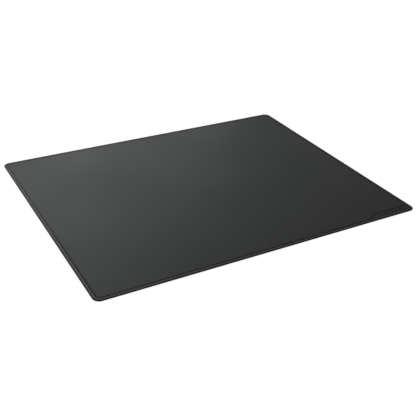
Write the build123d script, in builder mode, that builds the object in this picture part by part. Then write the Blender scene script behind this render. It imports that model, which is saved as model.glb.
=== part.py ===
"""A thin laminated craft mat: five bonded sheets, with a line pressed into the top one.

The origin is at the centre of the underside. +X runs along the long side, +Y away from
the user and +Z up. All sizes are in millimetres.
"""

import os

from build123d import *

# Outline, seen from above
mat_length = 650.0
mat_depth = 520.0
corner_radius = 12.5

# Sheets, from the table upwards
backing_thickness = 0.35
lower_cushion_thickness = 0.45
core_thickness = 0.35
upper_cushion_thickness = 0.55
top_film_thickness = 0.30

# Line pressed into the top by a heated round-nosed tool
line_inset = 6.5
line_width = 3.2
line_depth = 0.40

# The line steps inwards at the right-hand front corner, beside a small badge
badge_length = 92.0
badge_depth = 18.5
step_run = 6.0
step_radius = 5.0

# Badge: a row of plain slanted dashes
dash_count = 7
dash_pitch = 9.0
dash_length = 9.5
dash_width = 2.6
dash_depth = 0.20
dash_slant = 60.0
dash_row_inset = 9.5

# Softened edges left by die cutting
top_edge_radius = 0.25
bottom_edge_radius = 0.15

# Heights of the faces between the sheets
backing_top = backing_thickness
lower_cushion_top = backing_top + lower_cushion_thickness
core_top = lower_cushion_top + core_thickness
upper_cushion_top = core_top + upper_cushion_thickness
mat_thickness = upper_cushion_top + top_film_thickness

# The tool's nose: a circle that cuts a line of that width and depth in a flat top
nose_radius = ((line_width / 2) ** 2 + line_depth**2) / (2 * line_depth)
nose_height = mat_thickness - line_depth + nose_radius
film_under_nose_radius = nose_radius + top_film_thickness

# Pressed line, as the route of the tool's centre
line_right = mat_length / 2 - line_inset
line_back = mat_depth / 2 - line_inset
line_corner_radius = corner_radius - line_inset
badge_left = mat_length / 2 - badge_length
badge_back = badge_depth - mat_depth / 2
badge_centre = ((badge_left + line_right) / 2, dash_row_inset - mat_depth / 2)

# Each corner of the route, counter-clockwise from the left-hand front one, with its radius
route_corners = [
    ((-line_right, -line_back), line_corner_radius),
    ((badge_left - step_run, -line_back), step_radius),
    ((badge_left, badge_back), step_radius),
    ((line_right, badge_back), line_corner_radius),
    ((line_right, line_back), line_corner_radius),
    ((-line_right, line_back), line_corner_radius),
]

with BuildLine(Plane.XY.offset(nose_height)) as line_route:
    FilletPolyline(
        [corner for corner, radius in route_corners],
        radius=[radius for corner, radius in route_corners],
        close=True,
    )
route_start = Plane(origin=line_route.line @ 0, z_dir=line_route.line % 0)

# Space that the tool sweeps through, and the same space one film thickness larger
with BuildPart() as nose_sweep:
    with BuildSketch(route_start):
        Circle(nose_radius)
    sweep(path=line_route.line)

with BuildPart() as film_sweep:
    with BuildSketch(route_start):
        Circle(film_under_nose_radius)
    sweep(path=line_route.line)

# Every sheet is cut to this outline in one stroke of the die
with BuildSketch() as outline:
    RectangleRounded(mat_length, mat_depth, corner_radius)

# Non-slip backing: the face that lies on the table
with BuildPart() as backing:
    add(outline.sketch)
    extrude(amount=backing_thickness)
    fillet(backing.faces().sort_by(Axis.Z)[0].edges(), bottom_edge_radius)
backing.part.label = "non_slip_backing"

# Lower soft sheet
with BuildPart() as lower_cushion:
    with BuildSketch(Plane.XY.offset(backing_top)):
        add(outline.sketch)
    extrude(amount=lower_cushion_thickness)
lower_cushion.part.label = "lower_healing_ply"

# Stiff core sheet, which stops the blade
with BuildPart() as core:
    with BuildSketch(Plane.XY.offset(lower_cushion_top)):
        add(outline.sketch)
    extrude(amount=core_thickness)
core.part.label = "rigid_core_ply"

# Upper soft sheet, thinned under the pressed line
with BuildPart() as upper_cushion:
    with BuildSketch(Plane.XY.offset(core_top)):
        add(outline.sketch)
    extrude(amount=upper_cushion_thickness)
    add(film_sweep.part, mode=Mode.SUBTRACT)
upper_cushion.part.label = "upper_healing_ply"

# Top film: keeps its thickness under the line, and carries the badge
with BuildPart() as film:
    with BuildSketch(Plane.XY.offset(upper_cushion_top)):
        add(outline.sketch)
    extrude(amount=top_film_thickness)
    fillet(film.faces().sort_by(Axis.Z)[-1].edges(), top_edge_radius)
    add(film_sweep.part)
    with BuildSketch():
        add(outline.sketch)
    extrude(amount=mat_thickness, mode=Mode.INTERSECT)
    add(nose_sweep.part, mode=Mode.SUBTRACT)
    with BuildSketch(Plane.XY.offset(mat_thickness)):
        with Locations(badge_centre):
            with GridLocations(dash_pitch, 0, dash_count, 1):
                SlotOverall(dash_length, dash_width, rotation=dash_slant)
    extrude(amount=-dash_depth, mode=Mode.SUBTRACT)
film.part.label = "top_film"

os.makedirs("parts", exist_ok=True)
for sheet in [backing, lower_cushion, core, upper_cushion, film]:
    export_step(sheet.part, f"parts/{sheet.part.label}.step")
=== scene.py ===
"""A dark laminated craft mat with a pressed border line, on a pale studio floor.

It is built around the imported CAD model, in its frame. Lengths are in metres, and the sizes
of the mat's small features are millimetres times MM.
"""

import math
from collections import namedtuple

import bpy
from mathutils import Matrix, Vector
from mathutils.geometry import delaunay_2d_cdt


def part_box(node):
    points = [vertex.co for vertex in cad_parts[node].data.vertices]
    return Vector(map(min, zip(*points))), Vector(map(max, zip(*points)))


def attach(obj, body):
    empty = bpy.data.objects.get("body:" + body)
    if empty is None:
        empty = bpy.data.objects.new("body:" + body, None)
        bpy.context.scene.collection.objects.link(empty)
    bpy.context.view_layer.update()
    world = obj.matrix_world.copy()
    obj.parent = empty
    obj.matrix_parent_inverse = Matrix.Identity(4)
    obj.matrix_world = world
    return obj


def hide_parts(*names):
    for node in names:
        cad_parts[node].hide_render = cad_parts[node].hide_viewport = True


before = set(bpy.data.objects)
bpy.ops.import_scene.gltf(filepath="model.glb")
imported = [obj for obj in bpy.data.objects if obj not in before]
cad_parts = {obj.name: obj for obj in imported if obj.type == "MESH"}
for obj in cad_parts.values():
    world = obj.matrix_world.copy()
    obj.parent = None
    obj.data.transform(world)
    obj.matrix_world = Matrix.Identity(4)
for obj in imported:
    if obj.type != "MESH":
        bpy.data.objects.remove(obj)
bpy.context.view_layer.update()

MM = 0.001

# Finishes, in the order of the film's materials: a face takes the highest one at its corners. The pressed
# finish carries painted shade
GRAINED, PRESSED_SHADED, CUT = range(3)

# A closed loop in plan, the sheet's top and base there, its finish, and how much painted highlight it
# takes, from 0 to 1
Ring = namedtuple("Ring", "loop top base finish worn", defaults=(GRAINED, 0.0))

# Mat, as the frame gives it
HALF_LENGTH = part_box("top_film")[1].x
HALF_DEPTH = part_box("top_film")[1].y
MAT_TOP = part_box("top_film")[1].z
UPPER_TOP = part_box("upper_healing_ply")[1].z
CORE_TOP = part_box("rigid_core_ply")[1].z
LOWER_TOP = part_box("lower_healing_ply")[1].z
BACKING_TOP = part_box("non_slip_backing")[1].z

# Outline and pressed line, as in the CAD source
CORNER_RADIUS = 12.5 * MM
LINE_INSET = 6.5 * MM
LINE_DEPTH = 0.40 * MM
BADGE_LENGTH = 92.0 * MM
BADGE_DEPTH = 18.5 * MM
STEP_RUN = 6.0 * MM
STEP_RADIUS = 5.0 * MM

# Badge: a row of plain slanted dashes, with walls given as (inset, drop) in millimetres
DASH_COUNT = 7
DASH_PITCH = 9.0 * MM
DASH_LENGTH = 9.5 * MM
DASH_WIDTH = 2.6 * MM
DASH_SLANT = math.radians(60)
DASH_ROW_INSET = 9.5 * MM
DASH_ARC_SEGMENTS = 8
DASH_WALL = [(-0.2, 0.0), (0.0, 0.0), (0.15, 0.07), (0.35, 0.16), (0.55, 0.2)]

# Cross-section of the border: a crowned strip that falls to the dark rim, and a soft groove, which
# has the pressed finish, painted dark as painted shade, from some depth down and a narrow flat guard on
# each side
CROWN_WIDTH = 3.8 * MM
CROWN_DROP = 0.30 * MM
CROWN_POWER = 1.7
CROWN_STEPS = 12
RIM_RADIUS = 0.20 * MM
RIM_STEPS = 5
RIM_WIDTH = 1.4 * MM
STRIP_WIDTH = 4.4 * MM
LINE_HALF_WIDTH = 1.6 * MM
LINE_BOTTOM_RADIUS = 0.3 * MM
LINE_STEPS = 16
LINE_SHADED_FROM = 0.1 * MM
LINE_GUARD = 0.2 * MM

# Cut edge: how far each sheet stands back from the film, and how far it swells
SOFT_SET_BACK = 0.05 * MM
CORE_SET_BACK = 0.12 * MM
SOFT_SWELL = 0.04 * MM
EDGE_ROWS = 5
BACKING_RIM_RADIUS = 0.15 * MM

# Mesh fineness
ARC_SEGMENTS = 16
RUN_STEP = 12.0 * MM
FIELD_INSET = 30.0 * MM
FIELD_COLUMNS = 25
FIELD_ROWS = 20
KEEP_INSIDE = 1
MERGE_WITHIN = 1e-7
SMOOTH_BELOW = math.radians(35)

# Film: colours, roughness and grain. Its painted highlight, which lightens the strip along the front and
# left sides, fades out over that share of the mat at a corner
FILM_DARK = (0.018, 0.0212, 0.0182)
FILM_LIGHT = (0.022, 0.0252, 0.0222)
FILM_PAINTED_SHEEN = (0.074, 0.079, 0.075)
SHEEN_FADE = 0.1
FILM_ROUGHNESS = (0.37, 0.42)
FILM_CLOUDS = 150 * MM
FILM_GRAIN = 0.9 * MM
FILM_PORES = 0.35 * MM
FILM_PORE_SHARE = 0.3
FILM_RELIEF = 0.02 * MM
CELL_SMOOTHNESS = 0.4

# Film where it is pressed: the groove and the dashes, painted near black with little shine as painted
# shade in those recesses
PRESSED_SHADE_DARK = (0.003, 0.0035, 0.003)
PRESSED_SHADE_LIGHT = (0.005, 0.0055, 0.005)
PRESSED_ROUGHNESS = (0.27, 0.33)
PRESSED_SHADE_SPECULAR = 0.26
PRESSED_STREAKS = 1.2 * MM
PRESSED_RELIEF = 0.005 * MM

# Cut faces: the film's rim and the inner sheets
RIM_DARK = (0.001, 0.0012, 0.001)
RIM_LIGHT = (0.003, 0.0035, 0.003)
RIM_ROUGHNESS = (0.4, 0.5)
RIM_SPECULAR = 0.05
VINYL_DARK = (0.003, 0.0035, 0.003)
VINYL_LIGHT = (0.01, 0.011, 0.0105)
VINYL_ROUGHNESS = (0.5, 0.65)
VINYL_SPECULAR = 0.2
CORE_DARK = (0.006, 0.0065, 0.006)
CORE_LIGHT = (0.018, 0.019, 0.0185)
CORE_ROUGHNESS = (0.4, 0.55)
CUT_STRETCH = (1, 1, 20)
CUT_LAYERS = 2.0 * MM
CUT_SPECKLE = 0.15 * MM
CUT_RELIEF = 0.01 * MM

# Embossed foam underneath, painted darker between the studs as painted shade
FOAM_DARK = (0.012, 0.0125, 0.012)
FOAM_LIGHT = (0.028, 0.029, 0.028)
FOAM_ROUGHNESS = (0.7, 0.85)
FOAM_PORES = 0.3 * MM
FOAM_PORE_SHARE = 0.2
STUD_PITCH = 3.0 * MM
STUD_RELIEF = 0.15 * MM

# Texture nodes: most of the noise lies in that range, and a wave of scale 1 has that pitch
NOISE_DETAIL = 2
NOISE_RANGE = (0.3, 0.7)
WAVE_PITCH = math.pi / 10

# Studio
STAGE_REACH = 12.0
STAGE_COLOUR = (0.85, 0.85, 0.85)
STAGE_ROUGHNESS = 0.7
STAGE_GLOW = 0.88
AMBIENT = 0.12
WHITE = (1.0, 1.0, 1.0)
COOL = (0.94, 0.97, 1.0)
TO_FRONT = (0, -1, 0)
TO_BACK = (0, 1, 0)
DOWN = (0, 0, -1)

# Camera, with its lens and sensor in millimetres and its angles in degrees
CAMERA_PLACE = (-0.6099, -1.0828, 0.6644)
CAMERA_ANGLES = (60.118, -1.820, -29.034)
CAMERA_LENS = 61.28
SENSOR_WIDTH = 36.0
CLIP_START = 0.05


# ---------------------------------------------------------------- loops in plan


def left_of(direction):
    return Vector((-direction.y, direction.x))


def corner_arc(before, here, after, radius, inset):
    """Points of one rounded corner of a counter-clockwise loop, moved inwards by inset."""
    way_in = (here - before).normalized()
    way_out = (after - here).normalized()
    turn = math.atan2(way_in.cross(way_out), way_in.dot(way_out))
    side = math.copysign(1, turn)
    arc_radius = radius - side * inset
    sideways = left_of(way_in) + left_of(way_out)
    corner = here + sideways * inset / (1 + way_in.dot(way_out))
    start = corner - way_in * arc_radius * math.tan(abs(turn) / 2)
    centre = start + left_of(way_in) * side * arc_radius
    steps = range(ARC_SEGMENTS + 1)
    return [centre + Matrix.Rotation(turn * k / ARC_SEGMENTS, 2) @ (start - centre) for k in steps]


def rounded_loop(corners, inset):
    """Points of a closed counter-clockwise loop of (corner, radius), moved inwards by inset."""
    arcs = []
    for i, (here, radius) in enumerate(corners):
        before = corners[i - 1][0]
        after = corners[(i + 1) % len(corners)][0]
        arcs.append(corner_arc(before, here, after, radius, inset))
    points = []
    for i, arc in enumerate(arcs):
        run_end = arcs[(i + 1) % len(arcs)][0]
        steps = max(1, round((run_end - arc[-1]).length / RUN_STEP))
        points += arc
        points += [arc[-1].lerp(run_end, k / steps) for k in range(1, steps)]
    return points


def outline_corners():
    """The mat's outline, from the left-hand front corner."""
    places = [(-1, -1), (1, -1), (1, 1), (-1, 1)]
    return [(Vector((x * HALF_LENGTH, y * HALF_DEPTH)), CORNER_RADIUS) for x, y in places]


def line_corners():
    """The pressed line's centre, which steps inwards beside the badge."""
    right = HALF_LENGTH - LINE_INSET
    back = HALF_DEPTH - LINE_INSET
    radius = CORNER_RADIUS - LINE_INSET
    badge_left = HALF_LENGTH - BADGE_LENGTH
    badge_back = BADGE_DEPTH - HALF_DEPTH
    return [
        (Vector((-right, -back)), radius),
        (Vector((badge_left - STEP_RUN, -back)), STEP_RADIUS),
        (Vector((badge_left, badge_back)), STEP_RADIUS),
        (Vector((right, badge_back)), radius),
        (Vector((right, back)), radius),
        (Vector((-right, back)), radius),
    ]


def dash_loop(centre, inset):
    """Points of one slanted round-ended dash, moved inwards by inset."""
    radius = DASH_WIDTH / 2 - inset
    reach = (DASH_LENGTH - DASH_WIDTH) / 2
    points = []
    for end in (0, 1):
        for k in range(DASH_ARC_SEGMENTS + 1):
            angle = math.pi * (end + k / DASH_ARC_SEGMENTS) - math.pi / 2
            x = radius * math.cos(angle) + reach * (1 - 2 * end)
            points.append(Vector((x, radius * math.sin(angle))))
    slant = Matrix.Rotation(DASH_SLANT, 2)
    return [centre + slant @ point for point in points]


def field_grid():
    """Evenly spread points inside the line, which keep the flat field's triangles compact."""
    across = HALF_LENGTH - FIELD_INSET
    deep = HALF_DEPTH - FIELD_INSET
    return [
        Vector((across * (2 * i / (FIELD_COLUMNS - 1) - 1), deep * (2 * j / (FIELD_ROWS - 1) - 1)))
        for i in range(FIELD_COLUMNS)
        for j in range(FIELD_ROWS)
    ]


# ---------------------------------------------------------------- heights of the pressed sheets


def crown_drop(inset):
    """How far the strip lies below the mat's top at that distance from the cut edge."""
    return CROWN_DROP * max(0.0, 1 - inset / CROWN_WIDTH) ** CROWN_POWER


def line_drop(across):
    """How far the groove lies below the mat's top at that distance from its centre: a soft V."""
    rise = math.hypot(across, LINE_BOTTOM_RADIUS) - LINE_BOTTOM_RADIUS
    full_rise = math.hypot(LINE_HALF_WIDTH, LINE_BOTTOM_RADIUS) - LINE_BOTTOM_RADIUS
    return LINE_DEPTH * max(0.0, 1 - rise / full_rise)


def rim_finish(inset):
    return CUT if inset < RIM_WIDTH else GRAINED


def painted_sheen_share(inset):
    """How much painted highlight the strip between the edge and the groove takes at that distance."""
    return min(1.0, (STRIP_WIDTH - inset) / (STRIP_WIDTH - CROWN_WIDTH))


def painted_sheen_side(point):
    """1 along the front and left sides, where the strip takes a painted highlight, and 0 along the
    others.
    """
    towards = -(point[0] / HALF_LENGTH + point[1] / HALF_DEPTH)
    return min(1.0, max(0.0, towards / SHEEN_FADE))


def sheet_rings(strip_insets, top, base):
    """Rings of the crowned strip and of the groove, for a sheet with that top and base."""
    outline = outline_corners()
    rings = []
    for inset in [*strip_insets, STRIP_WIDTH]:
        drop = crown_drop(inset)
        loop = rounded_loop(outline, inset)
        rings.append(Ring(loop, top - drop, base(drop), rim_finish(inset), painted_sheen_share(inset)))
    across = [LINE_HALF_WIDTH * (2 * k / LINE_STEPS - 1) for k in range(LINE_STEPS + 1)]
    for away in [across[0] - LINE_GUARD, *across, across[-1] + LINE_GUARD]:
        drop = line_drop(away)
        # The deeper part of the groove takes the pressed finish, painted dark as painted shade
        finish = PRESSED_SHADED if drop > LINE_SHADED_FROM else GRAINED
        rings.append(Ring(rounded_loop(line_corners(), away), top - drop, base(drop), finish))
    return rings


def crown_insets(first):
    """Distances from the edge across the crowned strip, from the first to its end."""
    return [first + (CROWN_WIDTH - first) * k / CROWN_STEPS for k in range(CROWN_STEPS + 1)]


def film_rings():
    """The top film: its rounded rim, then the strip, the groove and the dashes."""
    rings = []
    for k in range(RIM_STEPS):
        angle = math.pi / 2 * k / RIM_STEPS
        inset = RIM_RADIUS * (1 - math.cos(angle))
        drop = crown_drop(inset)
        rounding = RIM_RADIUS * (1 - math.sin(angle))
        loop = rounded_loop(outline_corners(), inset)
        rings.append(Ring(loop, MAT_TOP - drop - rounding, UPPER_TOP - drop, CUT))
    rings += sheet_rings(crown_insets(RIM_RADIUS), MAT_TOP, lambda drop: UPPER_TOP - drop)
    badge_middle = HALF_LENGTH - (BADGE_LENGTH + LINE_INSET) / 2
    for i in range(DASH_COUNT):
        x = badge_middle + DASH_PITCH * (i - (DASH_COUNT - 1) / 2)
        centre = Vector((x, DASH_ROW_INSET - HALF_DEPTH))
        for inset, drop in DASH_WALL:
            # Dash walls below the top take the pressed finish, painted dark as painted shade
            finish = PRESSED_SHADED if drop else GRAINED
            rings.append(Ring(dash_loop(centre, inset * MM), MAT_TOP - drop * MM, UPPER_TOP, finish))
    return rings


def upper_ply_rings():
    """The ply under the film, which follows the strip and the groove on its top only."""
    return sheet_rings(crown_insets(SOFT_SET_BACK), UPPER_TOP, lambda drop: CORE_TOP)


def flat_ply_rings(top, base, set_back):
    """A plain ply has only its edge."""
    return [Ring(rounded_loop(outline_corners(), set_back), top, base)]


def backing_rings():
    """The backing's edge, rounded towards the table."""
    rings = []
    for k in range(RIM_STEPS + 1):
        angle = math.pi / 2 * k / RIM_STEPS
        inset = SOFT_SET_BACK + BACKING_RIM_RADIUS * (1 - math.cos(angle))
        base = BACKING_RIM_RADIUS * (1 - math.sin(angle))
        rings.append(Ring(rounded_loop(outline_corners(), inset), BACKING_TOP, base))
    return rings


# ---------------------------------------------------------------- meshes


def fill_rings(rings, top, base):
    """Triangles in plan through those rings, with the field inside them at that top and base.

    Gives the points, the ring that each belongs to, the triangles and the first ring's points.
    """
    plan = field_grid()
    field_size = len(plan)
    rings_at = [Ring(None, top, base)] * field_size
    edges = []
    for ring in rings:
        first = len(plan)
        size = len(ring.loop)
        plan += ring.loop
        rings_at += [ring] * size
        edges += [(first + k, first + (k + 1) % size) for k in range(size)]
    found = delaunay_2d_cdt(plan, edges, [], KEEP_INSIDE, MERGE_WITHIN)
    points, triangles, sources = found[0], found[2], found[3]
    at = [rings_at[source[0]] for source in sources]
    place = {source: i for i, merged in enumerate(sources) for source in merged}
    rim = [place[field_size + k] for k in range(len(rings[0].loop))]
    return points, at, triangles, rim


def edge_loops(edge, set_back, swell):
    """Loops of points up the cut edge, between that ring's base and top."""
    loops = []
    for k in range(1, EDGE_ROWS):
        rise = k / EDGE_ROWS
        height = edge.base + (edge.top - edge.base) * rise
        loop = rounded_loop(outline_corners(), set_back - swell * math.sin(math.pi * rise))
        loops.append([Vector((*point, height)) for point in loop])
    return loops


def sheet_mesh(name, rings, top, base, set_back, swell):
    """A closed sheet through those rings, the first of which is its edge, and the ring at each point."""
    points, at, triangles, rim = fill_rings(rings, top, base)
    count = len(points)
    verts = [Vector((*point, ring.top)) for point, ring in zip(points, at)]
    verts += [Vector((*point, ring.base)) for point, ring in zip(points, at)]
    faces = [tuple(face) for face in triangles]
    faces += [tuple(count + v for v in reversed(face)) for face in triangles]
    rows = [[count + v for v in rim]]
    for loop in edge_loops(rings[0], set_back, swell):
        rows.append(range(len(verts), len(verts) + len(loop)))
        verts += loop
    rows.append(rim)
    for lower, upper in zip(rows, rows[1:]):
        for k in range(len(rim)):
            after = (k + 1) % len(rim)
            faces.append((lower[k], lower[after], upper[after], upper[k]))
    mesh = bpy.data.meshes.new(name)
    mesh.from_pydata(verts, [], faces)
    # Painted highlight: how much each point of the strip is lightened, along the front and left sides
    worn = [ring.worn * painted_sheen_side(point) for point, ring in zip(points, at)]
    worn += [0.0] * (len(verts) - count)
    mesh.attributes.new("worn", "FLOAT", "POINT").data.foreach_set("value", worn)
    return mesh, at


def sheet_piece(name, node, materials, rings, top, base, set_back=0.0, swell=0.0):
    """A sheet that stands for that node, with each face in the material of its finish."""
    mesh, at = sheet_mesh(name, rings, top, base, set_back, swell)
    finish = [ring.finish for ring in at] + [CUT] * (len(mesh.vertices) - len(at))
    for material in materials:
        mesh.materials.append(material)
    for face in mesh.polygons:
        face.material_index = min(max(finish[v] for v in face.vertices), len(materials) - 1)
    mesh.validate()
    mesh.shade_smooth()
    mesh.set_sharp_from_angle(angle=SMOOTH_BELOW)
    piece = bpy.data.objects.new(name, mesh)
    bpy.context.scene.collection.objects.link(piece)
    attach(piece, "root")
    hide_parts(node)
    return piece


# ---------------------------------------------------------------- materials


def new_material(name):
    material = bpy.data.materials.new(name)
    material.use_nodes = True
    return material, material.node_tree.nodes["Principled BSDF"]


def add_node(material, kind, settings=None, values=None, links=None):
    """A new node with its settings, its sockets' values and its sockets' sources."""
    node = material.node_tree.nodes.new(kind)
    for name, setting in (settings or {}).items():
        setattr(node, name, setting)
    for socket, value in (values or {}).items():
        node.inputs[socket].default_value = value
    for socket, source in (links or {}).items():
        material.node_tree.links.new(source, node.inputs[socket])
    return node


def object_place(material, stretch=(1, 1, 1)):
    """The place on the object in metres, times stretch along each axis."""
    place = add_node(material, "ShaderNodeTexCoord").outputs["Object"]
    mapping = add_node(material, "ShaderNodeMapping", values={"Scale": stretch}, links={"Vector": place})
    return mapping.outputs["Vector"]


def noise(material, place, size):
    """Soft noise, from 0 to 1, whose blotches are about that size in metres."""
    values = {"Scale": 1 / size, "Detail": NOISE_DETAIL}
    return add_node(material, "ShaderNodeTexNoise", values=values, links={"Vector": place}).outputs["Fac"]


def cells(material, place, size):
    """Rounded cells about that size in metres: 0 at their middles, rising to their rims."""
    settings = {"feature": "SMOOTH_F1"}
    values = {"Scale": 1 / size, "Smoothness": CELL_SMOOTHNESS}
    node = add_node(material, "ShaderNodeTexVoronoi", settings, values, {"Vector": place})
    return node.outputs["Distance"]


def ribs(material, place, pitch, direction):
    """Parallel ribs with that pitch in metres along X or Y, from 0 to 1."""
    settings = {"bands_direction": direction}
    values = {"Scale": WAVE_PITCH / pitch}
    node = add_node(material, "ShaderNodeTexWave", settings, values, {"Vector": place})
    return node.outputs["Fac"]


def reckon(material, operation, first, second):
    """A Math node on two sources, of which the second may be a number."""
    node = add_node(material, "ShaderNodeMath", {"operation": operation}, links={0: first})
    if isinstance(second, float):
        node.inputs[1].default_value = second
    else:
        material.node_tree.links.new(second, node.inputs[1])
    return node.outputs["Value"]


def spread(material, source, low, high):
    """A noise source whose usual range is spread from low to high, and held there."""
    start, end = NOISE_RANGE
    values = {"From Min": start, "From Max": end, "To Min": low, "To Max": high}
    node = add_node(material, "ShaderNodeMapRange", values=values, links={"Value": source})
    return node.outputs["Result"]


def two_colours(material, share, first, second):
    """A colour that goes from first to second as the share goes from 0 to 1."""
    ramp = add_node(material, "ShaderNodeValToRGB", links={"Fac": share})
    ramp.color_ramp.elements[0].color = (*first, 1)
    ramp.color_ramp.elements[1].color = (*second, 1)
    return ramp.outputs["Color"]


def blend_colours(material, share, first, second):
    """A mix of the first colour source and the second colour, by share."""
    node = add_node(material, "ShaderNodeMix", {"data_type": "RGBA"})
    # The node's sockets for colours are taken by number, as those for numbers have the same names
    factor, colour_a, colour_b = node.inputs[0], node.inputs[6], node.inputs[7]
    material.node_tree.links.new(share, factor)
    material.node_tree.links.new(first, colour_a)
    colour_b.default_value = (*second, 1)
    return node.outputs[2]


def connect(material, shader, colour, roughness, height, relief):
    """Colour and roughness sources, and a height source whose full range is relief in metres."""
    links = material.node_tree.links
    links.new(colour, shader.inputs["Base Color"])
    links.new(roughness, shader.inputs["Roughness"])
    bump = add_node(material, "ShaderNodeBump", values={"Distance": relief}, links={"Height": height})
    links.new(bump.outputs["Normal"], shader.inputs["Normal"])


def film_material():
    """Matt black-green film: fine leather grain, a little cloudy, and paler on the strip along the front
    and left sides, a painted highlight.
    """
    material, shader = new_material("film_leather_grain")
    place = object_place(material)
    worn = add_node(material, "ShaderNodeAttribute", {"attribute_name": "worn"}).outputs["Fac"]
    clouds = noise(material, place, FILM_CLOUDS)
    grain = cells(material, place, FILM_GRAIN)
    pores = noise(material, place, FILM_PORES)
    plain = two_colours(material, clouds, FILM_DARK, FILM_LIGHT)
    # Painted highlight: the strip turns paler along the front and left sides
    colour = blend_colours(material, worn, plain, FILM_PAINTED_SHEEN)
    height = reckon(material, "ADD", grain, reckon(material, "MULTIPLY", pores, FILM_PORE_SHARE))
    roughness = spread(material, clouds, *FILM_ROUGHNESS)
    connect(material, shader, colour, roughness, height, FILM_RELIEF)
    return material


def pressed_shaded_material():
    """The same film where a hot tool has pressed it: smoother, and darker with little shine, which is
    painted shade in the groove and the dashes.
    """
    material, shader = new_material("film_pressed_painted_shade")
    place = object_place(material)
    streaks = noise(material, place, PRESSED_STREAKS)
    # Painted shade: the groove and the dashes are coloured near black
    colour = two_colours(material, streaks, PRESSED_SHADE_DARK, PRESSED_SHADE_LIGHT)
    roughness = spread(material, streaks, *PRESSED_ROUGHNESS)
    connect(material, shader, colour, roughness, streaks, PRESSED_RELIEF)
    # Painted shade: the low specular level darkens the groove and the dashes as well
    shader.inputs["Specular IOR Level"].default_value = PRESSED_SHADE_SPECULAR
    return material


def cut_material(name, dark, light, roughness, specular):
    """A cut face: thin layers drawn along the edge by the blade, and a speckle."""
    material, shader = new_material(name)
    layers = noise(material, object_place(material, CUT_STRETCH), CUT_LAYERS)
    speckle = noise(material, object_place(material), CUT_SPECKLE)
    both = reckon(material, "MULTIPLY", reckon(material, "ADD", layers, speckle), 0.5)
    colour = two_colours(material, both, dark, light)
    connect(material, shader, colour, spread(material, both, *roughness), layers, CUT_RELIEF)
    shader.inputs["Specular IOR Level"].default_value = specular
    return material


def backing_material():
    """Dark foam, embossed with small square studs so that it grips the table, and painted darker between
    the studs as painted shade.
    """
    material, shader = new_material("foam_studs")
    place = object_place(material)
    foam = noise(material, place, FOAM_PORES)
    ribs_x = ribs(material, place, STUD_PITCH, "X")
    ribs_y = ribs(material, place, STUD_PITCH, "Y")
    studs = reckon(material, "MULTIPLY", ribs_x, ribs_y)
    height = reckon(material, "ADD", studs, reckon(material, "MULTIPLY", foam, FOAM_PORE_SHARE))
    # Painted shade: the colour follows the studs' height, darker in the hollows and lighter on the tops
    colour = two_colours(material, studs, FOAM_DARK, FOAM_LIGHT)
    connect(material, shader, colour, spread(material, foam, *FOAM_ROUGHNESS), height, STUD_RELIEF)
    return material


def plain_material(name, colour, roughness):
    material, shader = new_material(name)
    shader.inputs["Base Color"].default_value = (*colour, 1)
    shader.inputs["Roughness"].default_value = roughness
    return material, shader


# ---------------------------------------------------------------- the mat


def build_film():
    rim = cut_material("film_cut", RIM_DARK, RIM_LIGHT, RIM_ROUGHNESS, RIM_SPECULAR)
    materials = [film_material(), pressed_shaded_material(), rim]
    film = sheet_piece("film", "top_film", materials, film_rings(), MAT_TOP, UPPER_TOP)
    return film


def build_plies():
    """The two soft plies and the stiff one between them."""
    vinyl = cut_material("soft_vinyl_cut", VINYL_DARK, VINYL_LIGHT, VINYL_ROUGHNESS, VINYL_SPECULAR)
    stiff = cut_material("stiff_vinyl_cut", CORE_DARK, CORE_LIGHT, CORE_ROUGHNESS, VINYL_SPECULAR)
    upper = sheet_piece(
        "upper_ply", "upper_healing_ply", [vinyl], upper_ply_rings(),
        UPPER_TOP, CORE_TOP, SOFT_SET_BACK, SOFT_SWELL,
    )
    core = sheet_piece(
        "core_ply", "rigid_core_ply", [stiff], flat_ply_rings(CORE_TOP, LOWER_TOP, CORE_SET_BACK),
        CORE_TOP, LOWER_TOP, CORE_SET_BACK,
    )
    lower = sheet_piece(
        "lower_ply", "lower_healing_ply", [vinyl], flat_ply_rings(LOWER_TOP, BACKING_TOP, SOFT_SET_BACK),
        LOWER_TOP, BACKING_TOP, SOFT_SET_BACK, SOFT_SWELL,
    )
    return [upper, core, lower]


def build_backing():
    foam = backing_material()
    backing = sheet_piece(
        "backing", "non_slip_backing", [foam], backing_rings(), BACKING_TOP, 0.0, SOFT_SET_BACK
    )
    return backing


def build_mat():
    film = build_film()
    plies = build_plies()
    backing = build_backing()


# ---------------------------------------------------------------- floor, lights and camera


def stage_sheet(name, corners, faces):
    """A piece of the pale stage, which glows so that it is even to the edge of the view."""
    mesh = bpy.data.meshes.new(name)
    mesh.from_pydata(corners, [], faces)
    sheet = bpy.data.objects.new(name, mesh)
    material, shader = plain_material(name + "_paint", STAGE_COLOUR, STAGE_ROUGHNESS)
    shader.inputs["Emission Color"].default_value = (*STAGE_COLOUR, 1)
    shader.inputs["Emission Strength"].default_value = STAGE_GLOW
    mesh.materials.append(material)
    sheet.visible_glossy = False
    bpy.context.scene.collection.objects.link(sheet)
    return sheet


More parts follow.
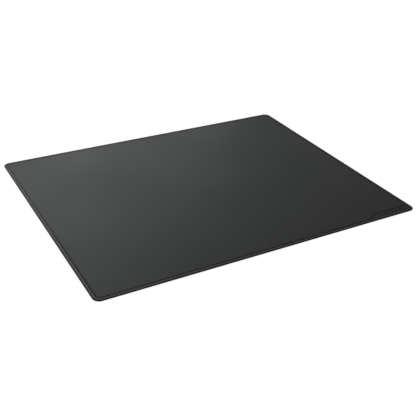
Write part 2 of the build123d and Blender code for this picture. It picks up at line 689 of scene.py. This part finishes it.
def build_stage():
    """A floor, and walls round it that are only seen: they throw no light on the mat."""
    ring = [(-1, -1), (1, -1), (1, 1), (-1, 1)]
    foot = [(x * STAGE_REACH, y * STAGE_REACH, 0) for x, y in ring]
    head = [(x, y, STAGE_REACH) for x, y, z in foot]
    stage_sheet("floor", foot, [(0, 1, 2, 3)])
    sides = [(k, k + 4, (k + 1) % 4 + 4, (k + 1) % 4) for k in range(4)]
    walls = stage_sheet("backdrop", foot + head, sides)
    walls.visible_diffuse = False
    walls.visible_shadow = False


def softbox(name, place, facing, width, height, power, colour):
    """A soft rectangular light at place, pointed along facing, with its power in watts."""
    light = bpy.data.lights.new(name, "AREA")
    light.shape = "RECTANGLE"
    light.size = width
    light.size_y = height
    light.energy = power
    light.color = colour
    lamp = bpy.data.objects.new(name, light)
    lamp.location = place
    lamp.rotation_euler = Vector(facing).to_track_quat("-Z", "Y").to_euler()
    lamp.visible_camera = False
    bpy.context.scene.collection.objects.link(lamp)


def build_studio():
    softbox("back_softbox", (0.5, 3.2, 1.45), TO_FRONT, width=3.0, height=0.5, power=11.6, colour=COOL)
    softbox("tall_softbox", (0.5, 3.2, 2.45), TO_FRONT, width=1.0, height=1.5, power=5.3, colour=COOL)
    softbox("side_softbox", (3.0, 3.2, 2.05), TO_FRONT, width=2.0, height=0.7, power=3.5, colour=COOL)
    softbox("overhead_softbox", (0.25, 1.1, 3.2), DOWN, width=3.5, height=4.2, power=21, colour=WHITE)
    softbox("front_softbox", (0, -3.2, 1.8), TO_BACK, width=8.0, height=2.0, power=25, colour=WHITE)
    world = bpy.data.worlds.new("studio")
    world.use_nodes = True
    background = world.node_tree.nodes["Background"]
    background.inputs["Color"].default_value = (*WHITE, 1)
    background.inputs["Strength"].default_value = AMBIENT
    bpy.context.scene.world = world
    bpy.context.scene.view_settings.view_transform = "Standard"


def build_camera():
    data = bpy.data.cameras.new("camera")
    data.lens = CAMERA_LENS
    data.sensor_width = SENSOR_WIDTH
    data.clip_start = CLIP_START
    camera = bpy.data.objects.new("camera", data)
    camera.location = CAMERA_PLACE
    camera.rotation_euler = [math.radians(angle) for angle in CAMERA_ANGLES]
    bpy.context.scene.collection.objects.link(camera)
    bpy.context.scene.camera = camera


build_camera()
build_mat()
build_stage()
build_studio()
